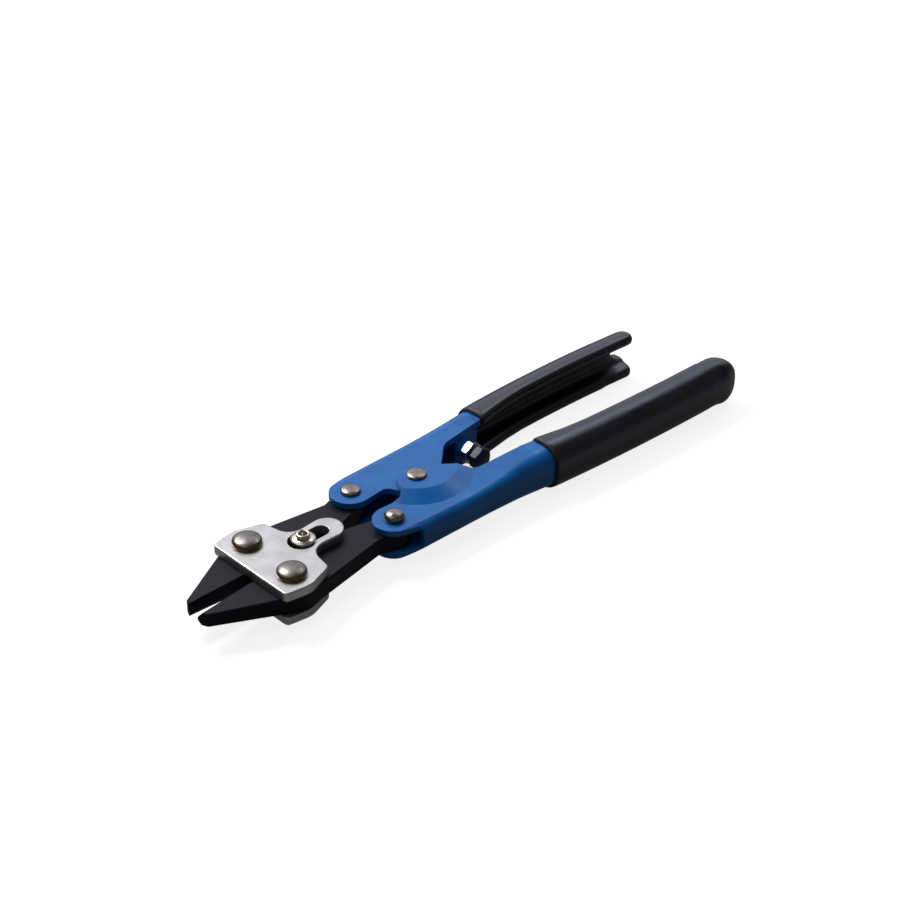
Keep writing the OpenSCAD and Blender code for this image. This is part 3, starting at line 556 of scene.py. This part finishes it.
def washer(node, bore, material, up):
    """A collar turned with a sloped shoulder that faces outward."""
    low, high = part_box(node)
    centre = Vector(((low.x + high.x) / 2, (low.y + high.y) / 2, low.z if up > 0 else high.z))
    radius, height = (high.x - low.x) / 2, high.z - low.z
    # the shoulder slopes over this share of the height, and runs inward by slope_run times it
    slope_share, slope_run, broken_edge = 0.42, 2.6, 0.05 * MM
    slope = slope_share * height
    inner, shoulder = radius - slope_run * slope, height - slope
    profile = [(bore, 0), (radius - broken_edge, 0), (radius, 0.06 * MM), (radius, shoulder - broken_edge)]
    profile += [(radius - 0.08 * MM, shoulder + 0.06 * MM), (inner, height - 0.02 * MM)]
    profile += [(inner - 0.15 * MM, height), (bore, height), (bore, 0)]
    mesh = turned([(r, up * z) for r, z in profile], centre)
    return finish_mesh(mesh, node, "_turned", material, sharp_deg=40)


def hexagon(flats, height, chamfer, both_ends):
    """A hexagon prism along +Z whose corners are turned off by a cone, as on a nut."""
    face_radius, near_corner, tiny = 0.475 * flats, 0.49 * flats, 1e-7
    mesh = bmesh.new()
    bmesh.ops.create_circle(mesh, cap_ends=True, segments=6, radius=flats / math.sqrt(3))
    bmesh.ops.subdivide_edges(mesh, edges=mesh.edges[:], cuts=7)
    grown = bmesh.ops.extrude_face_region(mesh, geom=mesh.faces[:])
    top = [v for v in grown["geom"] if isinstance(v, bmesh.types.BMVert)]
    bmesh.ops.translate(mesh, verts=top, vec=(0, 0, height))
    bmesh.ops.holes_fill(mesh, edges=[e for e in mesh.edges if e.is_boundary])
    bmesh.ops.recalc_face_normals(mesh, faces=mesh.faces)
    for level in (height, 0.0) if both_ends else (height,):
        flat = [f for f in mesh.faces if abs(f.normal.z) > 0.9]
        face = next(f for f in flat if abs(f.calc_center_median().z - level) < tiny)
        bmesh.ops.inset_individual(mesh, faces=[face], thickness=0.1 * MM)
        for vert in face.verts:
            away = math.hypot(vert.co.x, vert.co.y)
            vert.co.x *= face_radius / away
            vert.co.y *= face_radius / away
        for vert in [v for v in mesh.verts if abs(v.co.z - level) < tiny]:
            away = math.hypot(vert.co.x, vert.co.y)
            if away > near_corner:
                drop = (away - face_radius) * chamfer
                vert.co.z += drop if level == 0.0 else -drop
    return mesh


def threaded_rod(outer, pitch, start, end, steps=24):
    """A rod along +Z whose surface is one helical thread, closed at both ends."""
    mesh = bmesh.new()
    depth = 0.6 * pitch
    root, flank = outer - depth, outer - 0.15 * depth
    profile = [(root, 0.0), (flank, 0.38), (outer, 0.46), (outer, 0.54), (flank, 0.62), (root, 1.0)]
    verts = [mesh.verts.new((r, 0, start + z * pitch)) for r, z in profile]
    edges = [mesh.edges.new(pair) for pair in zip(verts, verts[1:])]
    turns = int((end - start) / pitch) - 1
    helix = {"dvec": (0, 0, pitch / steps), "angle": 2 * math.pi * turns, "steps": steps * turns}
    bmesh.ops.spin(mesh, geom=verts + edges, cent=(0, 0, 0), axis=(0, 0, 1), **helix)
    bmesh.ops.remove_doubles(mesh, verts=mesh.verts, dist=0.002 * MM)
    bmesh.ops.holes_fill(mesh, edges=[e for e in mesh.edges if e.is_boundary])
    bmesh.ops.recalc_face_normals(mesh, faces=mesh.faces)
    return mesh


def along_y(mesh, centre_x, start_y, centre_z):
    """Turns a mesh drawn along +Z to run along +Y from start_y."""
    place = Matrix.Translation((centre_x, start_y, centre_z)) @ Matrix.Rotation(-math.pi / 2, 4, "X")
    bmesh.ops.transform(mesh, matrix=place, verts=mesh.verts)
    return mesh


def put_in(target, part):
    """Adds one bmesh's parts to another."""
    spare = bpy.data.meshes.new("spare")
    part.to_mesh(spare)
    part.free()
    target.from_mesh(spare)
    bpy.data.meshes.remove(spare)
    return target


# ---------------------------------------------------------------- settings
class CutterFinishes(bpy.types.PropertyGroup):
    """The colours of the pieces and the texture of the enamel"""

    jaw_colour: FloatVectorProperty(
        name="Jaw steel",
        description="Colour of the blackened jaws",
        subtype="COLOR", default=linear("#10111a"), min=0, max=1,
    )
    plate_colour: FloatVectorProperty(
        name="Side plates",
        description="Colour of the plated side plates",
        subtype="COLOR", default=linear("#b1afae"), min=0, max=1,
    )
    enamel_colour: FloatVectorProperty(
        name="Enamel",
        description="Colour of the handles' enamel",
        subtype="COLOR", default=linear("#0067b2"), min=0, max=1,
    )
    vinyl_colour: FloatVectorProperty(
        name="Grips",
        description="Colour of the dipped grips",
        subtype="COLOR", default=linear("#050508"), min=0, max=1,
    )
    peel_depth: FloatProperty(
        name="Orange peel",
        description="Depth of the enamel's orange peel",
        subtype="DISTANCE", unit="LENGTH", default=0.00006, min=0, max=0.0002, precision=6,
    )


class CutterSizes(bpy.types.PropertyGroup):
    """The sizes of what is finer than the solids"""

    edge_ease: FloatProperty(
        name="Eased edges",
        description="Rounding of the handles' pressed edges",
        subtype="DISTANCE", unit="LENGTH", default=0.00018, min=0, max=0.0005, precision=6,
    )
    nose_share: FloatProperty(
        name="Nose",
        description="Thickness of the jaws' tips as a share of the jaws",
        default=0.8, min=0.6, max=1,
    )
    thread_pitch: FloatProperty(
        name="Thread pitch",
        description="Pitch of the stop screw's thread",
        subtype="DISTANCE", unit="LENGTH", default=0.0007, min=0.0004, max=0.001, precision=6,
    )
    screw_d: FloatProperty(
        name="Screw",
        description="Outer diameter of the stop screw's thread",
        subtype="DISTANCE", unit="LENGTH", default=0.004, min=0.003, max=0.0042, precision=6,
    )


class CutterLight(bpy.types.PropertyGroup):
    """The surround and the four lamps"""

    sky: FloatProperty(
        name="Surround",
        description="Strength of the plain surround",
        default=0.12, min=0, max=3,
    )
    panel: FloatProperty(
        name="Back panel",
        description="Power of the wide panel behind the tool",
        subtype="POWER", default=4.4, min=0, max=100,
    )
    edge: FloatProperty(
        name="Edge lamp",
        description="Power of the small lamp that draws the handles' edges",
        subtype="POWER", default=0.65, min=0, max=20,
    )
    key: FloatProperty(
        name="Key lamp",
        description="Power of the lamp overhead",
        subtype="POWER", default=10.5, min=0, max=100,
    )
    fill: FloatProperty(
        name="Fill lamp",
        description="Power of the small lamp over the jaws",
        subtype="POWER", default=0.8, min=0, max=100,
    )


# ---------------------------------------------------------------- operators
class CUTTER_OT_jaws(bpy.types.Operator):
    """The two blackened jaws"""

    bl_idname = "cutter.jaws"
    bl_label = "Jaws"

    def execute(self, context):
        props = context.scene.cutter_finishes
        left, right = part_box("left_jaw_rivet"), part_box("right_jaw_rivet")
        middle = (left[0] + left[1] + right[0] + right[1]) / 4
        steel = black_oxide_steel(props, middle)
        plate_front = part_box("upper_plate")[0].x
        for node in ("left_jaw", "right_jaw"):
            tapered_jaw(node, steel, plate_front - 0.5 * MM, context.scene.cutter_sizes.nose_share)
        return {"FINISHED"}


class CUTTER_OT_plates(bpy.types.Operator):
    """The nickel plated side plates"""

    bl_idname = "cutter.plates"
    bl_label = "Side plates"

    def execute(self, context):
        nickel = satin_nickel(context.scene.cutter_finishes)
        for node in ("upper_plate", "lower_plate"):
            finish_mesh(merged(node), node, "_finished", nickel, 0.1 * MM, 40)
        return {"FINISHED"}


class CUTTER_OT_rivets(bpy.types.Operator):
    """The jaw rivets, link rivets and the handles' pivot rivet"""

    bl_idname = "cutter.rivets"
    bl_label = "Rivets"

    def execute(self, context):
        for node in ("left_jaw_rivet", "right_jaw_rivet"):
            low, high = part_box(node)
            # crown colour, the rim's painted shade with a yellow tint, where that shade starts, roughness
            looks = ("#7d7975", "#6f5f48", 3.9 * MM, 0.3)
            steel = headed_rivet("pewter_" + node, (low + high) / 2, *looks)
            rivet_piece(node, 6.8 * MM, 5.7 * MM, steel)
        seats = {"left_link_rivet": 5.0, "right_link_rivet": 5.0, "handle_pivot_rivet": 7.2}
        for node, seat in seats.items():
            low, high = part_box(node)
            # crown colour, the rim's painted shade with a yellow tint, where that shade starts, roughness
            looks = ("#8d857e", "#8a7b68", 2.6 * MM, 0.26)
            steel = headed_rivet("nickel_" + node, (low + high) / 2, *looks)
            rivet_piece(node, 4.4 * MM, seat * MM, steel)
        return {"FINISHED"}


class CUTTER_OT_guide(bpy.types.Operator):
    """The guide pin with its sleeve and collars"""

    bl_idname = "cutter.guide"
    bl_label = "Guide pin"

    def execute(self, context):
        nickel = bright_nickel()
        collar_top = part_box("upper_collar")[1].z
        bore = 1.52 * MM
        eyelet("guide_pin", nickel, collar_top, 1.15 * MM)
        washer("upper_collar", bore, nickel, 1)
        washer("lower_collar", bore, nickel, -1)
        turned_ring("guide_sleeve", bore, nickel, 0.15 * MM)
        turned_ring("pivot_spacer", 2.32 * MM, plain_steel(), 0.3 * MM)
        return {"FINISHED"}


class CUTTER_OT_handles(bpy.types.Operator):
    """The two pressed and enamelled handles"""

    bl_idname = "cutter.handles"
    bl_label = "Handles"

    def execute(self, context):
        enamel = blue_enamel(context.scene.cutter_finishes)
        ease = context.scene.cutter_sizes.edge_ease
        pressed_handle("left_handle", 1, enamel, ease)
        pressed_handle("right_handle", -1, enamel, ease)
        return {"FINISHED"}


class CUTTER_OT_grips(bpy.types.Operator):
    """The dipped vinyl grips"""

    bl_idname = "cutter.grips"
    bl_label = "Grips"

    def execute(self, context):
        for node in ("left_grip", "right_grip"):
            lip_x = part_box(node)[0].x
            dipped_grip(node, dipped_vinyl(context.scene.cutter_finishes, "vinyl_" + node, lip_x))
        return {"FINISHED"}


class CUTTER_OT_stop_screw(bpy.types.Operator):
    """The stop screw and its lock nut"""

    bl_idname = "cutter.stop_screw"
    bl_label = "Stop screw"

    def execute(self, context):
        sizes = context.scene.cutter_sizes
        low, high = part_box("stop_screw")
        centre_x, centre_z = (low.x + high.x) / 2, (low.z + high.z) / 2
        flats = high.z - low.z
        # the head: its free end is domed, and its corners are turned off
        head_height, crown_radius, rings = 3.4 * MM, 8 * MM, 7
        head = hexagon(flats, head_height, chamfer=0.5, both_ends=False)
        face = min(head.faces, key=lambda f: f.calc_center_median().z)
        for ring in range(rings, 0, -1):
            bmesh.ops.inset_individual(head, faces=[face], thickness=0.01 * MM)
            bmesh.ops.scale(head, verts=face.verts, vec=(ring / (ring + 1), ring / (ring + 1), 1))
        for vert in head.verts:
            away = math.hypot(vert.co.x, vert.co.y)
            dome = crown_radius - math.sqrt(crown_radius * crown_radius - away * away)
            vert.co.z = max(vert.co.z, dome)
        # the thread runs a little way into the head, so that no slit shows under it
        thread_from = head_height - 0.3 * MM
        rod = threaded_rod(sizes.screw_d / 2, sizes.thread_pitch, thread_from, high.y - low.y)
        screw = put_in(along_y(head, centre_x, low.y, centre_z), along_y(rod, centre_x, low.y, centre_z))
        finish_mesh(screw, "stop_screw", "_threaded", black_screw_steel(), sharp_deg=45)
        low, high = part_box("stop_lock_nut")
        nut = hexagon(flats, high.y - low.y, chamfer=0.55, both_ends=True)
        nut = along_y(nut, centre_x, low.y, centre_z)
        finish_mesh(nut, "stop_lock_nut", "_chamfered", bright_zinc(), sharp_deg=32)
        return {"FINISHED"}


class CUTTER_OT_stage(bpy.types.Operator):
    """Floor, soft lamps and the camera"""

    bl_idname = "cutter.stage"
    bl_label = "Stage"

    def execute(self, context):
        light = context.scene.cutter_light
        low = CAD_BOX[0]
        # a matt white floor: the camera sees it white, and it still takes the tool's shadow
        floor_reach, floor_drop = 3.0, 0.05 * MM
        sheet = bmesh.new()
        bmesh.ops.create_grid(sheet, x_segments=1, y_segments=1, size=floor_reach)
        bmesh.ops.translate(sheet, verts=sheet.verts, vec=(0, 0, low.z - floor_drop))
        data = bpy.data.meshes.new("floor")
        sheet.to_mesh(data)
        sheet.free()
        floor = bpy.data.objects.new("floor", data)
        context.scene.collection.objects.link(floor)
        material, tree = new_material("matt_white_floor")
        # the eye sees white paper, and gloss a tenth of it; other light finds the floor dark,
        # so that the tool's upright sides keep their depth
        path = add(tree, "ShaderNodeLightPath").outputs
        gloss = add(tree, "ShaderNodeMath", {0: path["Is Glossy Ray"], 1: 0.1}, operation="MULTIPLY")
        seen = add(tree, "ShaderNodeMath", {0: path["Is Camera Ray"], 1: gloss}, operation="MAXIMUM")
        seen = add(tree, "ShaderNodeMath", {0: seen, 1: path["Is Transmission Ray"]}, operation="MAXIMUM")
        tint = add(tree, "ShaderNodeMapRange", {"Value": seen, "To Min": 0.12, "To Max": 0.36})
        paper = add(tree, "ShaderNodeBsdfDiffuse", {"Color": tint})
        power = add(tree, "ShaderNodeMath", {0: seen, 1: 0.84}, operation="MULTIPLY")
        glow = add(tree, "ShaderNodeEmission", {"Color": rgba("#ffffff"), "Strength": power})
        both = add(tree, "ShaderNodeAddShader", {0: paper, 1: glow})
        add(tree, "ShaderNodeOutputMaterial", {"Surface": both})
        floor.data.materials.append(material)

        world = bpy.data.worlds.new("studio")
        context.scene.world = world
        world.use_nodes = True
        tree = world.node_tree
        tree.nodes.clear()
        path = add(tree, "ShaderNodeLightPath").outputs
        plain = add(tree, "ShaderNodeBackground", {"Color": rgba("#ffffff"), "Strength": light.sky})
        white = add(tree, "ShaderNodeBackground", {"Color": rgba("#ffffff"), "Strength": 1.0})
        choose = add(tree, "ShaderNodeMixShader", {0: path["Is Camera Ray"], 1: plain, 2: white})
        add(tree, "ShaderNodeOutputWorld", {"Surface": choose})

        def lamp(name, power, size, place, colour="#ffffff"):
            data = bpy.data.lights.new(name, "AREA")
            data.color = linear(colour)
            data.shape = "RECTANGLE"
            data.size, data.size_y = size
            data.energy = power
            made = bpy.data.objects.new(name, data)
            made.location = place
            made.rotation_mode = "QUATERNION"
            made.rotation_quaternion = (-Vector(place)).to_track_quat("-Z", "Y")
            context.scene.collection.objects.link(made)

        # a wide dim panel low behind the tool sheens its flats, and a smaller lamp overhead
        # lights them, so the upright sides towards the eye stay deep
        lamp("back_panel", light.panel, (1.5, 1.0), (0.60, 0.62, 0.56), "#f0f2ff")
        lamp("key_lamp", light.key, (0.4, 0.4), (-0.02, 0.72, 0.86))
        lamp("edge_lamp", light.edge, (0.4, 0.2), (0.52, 0.16, 0.70), "#edf1ff")
        lamp("fill_lamp", light.fill, (0.5, 0.5), (-0.4, 0.1, 0.9))

        # the camera's own axes: right, up and back; the eye is 600 mm back from its aim
        tilt, swing = math.radians(33.85), math.radians(43.85)
        right = Vector((math.cos(swing), -math.sin(swing), 0))
        level = math.cos(tilt)
        back = Vector((-math.sin(swing) * level, -math.cos(swing) * level, math.sin(tilt)))
        up = back.cross(right)
        rivets = [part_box(n) for n in ("left_jaw_rivet", "right_jaw_rivet")]
        pivots = sum((c for b in rivets for c in b), Vector()) / 4
        # the aim lies beside and above the point midway between the jaws' rivets
        aim_right, aim_up, eye_back = 51.53, 35.57, 600
        eye = pivots + (right * aim_right + up * aim_up + back * eye_back) * MM
        data = bpy.data.cameras.new("camera")
        data.lens, data.sensor_width = 83.74, 36
        data.clip_start, data.clip_end = 0.01, 20
        camera = bpy.data.objects.new("camera", data)
        camera.matrix_world = Matrix.Translation(eye) @ Matrix((right, up, back)).transposed().to_4x4()
        context.scene.collection.objects.link(camera)
        context.scene.camera = camera
        context.scene.view_settings.view_transform = "Standard"
        return {"FINISHED"}


class CUTTER_PT_panel(bpy.types.Panel):
    """Lists the pieces and their settings"""

    bl_label = "Bolt Cutter"
    bl_idname = "CUTTER_PT_panel"
    bl_space_type = "VIEW_3D"
    bl_region_type = "UI"
    bl_category = "Bolt Cutter"

    def draw(self, context):
        for setting, _ in GROUPS:
            group = getattr(context.scene, setting)
            box = self.layout.box()
            for name in group.bl_rna.properties.keys():
                if name not in ("rna_type", "name"):
                    box.prop(group, name)
        for step in STEPS:
            self.layout.operator(step.bl_idname)


STEPS = (
    CUTTER_OT_jaws,
    CUTTER_OT_plates,
    CUTTER_OT_rivets,
    CUTTER_OT_guide,
    CUTTER_OT_handles,
    CUTTER_OT_grips,
    CUTTER_OT_stop_screw,
    CUTTER_OT_stage,
)
GROUPS = (
    ("cutter_finishes", CutterFinishes),
    ("cutter_sizes", CutterSizes),
    ("cutter_light", CutterLight),
)


def register():
    for name, group in GROUPS:
        bpy.utils.register_class(group)
        setattr(bpy.types.Scene, name, PointerProperty(type=group))
    for step in STEPS:
        bpy.utils.register_class(step)
    bpy.utils.register_class(CUTTER_PT_panel)


def unregister():
    bpy.utils.unregister_class(CUTTER_PT_panel)
    for step in reversed(STEPS):
        bpy.utils.unregister_class(step)
    for name, group in reversed(GROUPS):
        delattr(bpy.types.Scene, name)
        bpy.utils.unregister_class(group)


def main():
    register()
    bpy.ops.cutter.jaws()
    bpy.ops.cutter.plates()
    bpy.ops.cutter.rivets()
    bpy.ops.cutter.guide()
    bpy.ops.cutter.handles()
    bpy.ops.cutter.grips()
    bpy.ops.cutter.stop_screw()
    bpy.ops.cutter.stage()


if __name__ == "__main__":
    main()
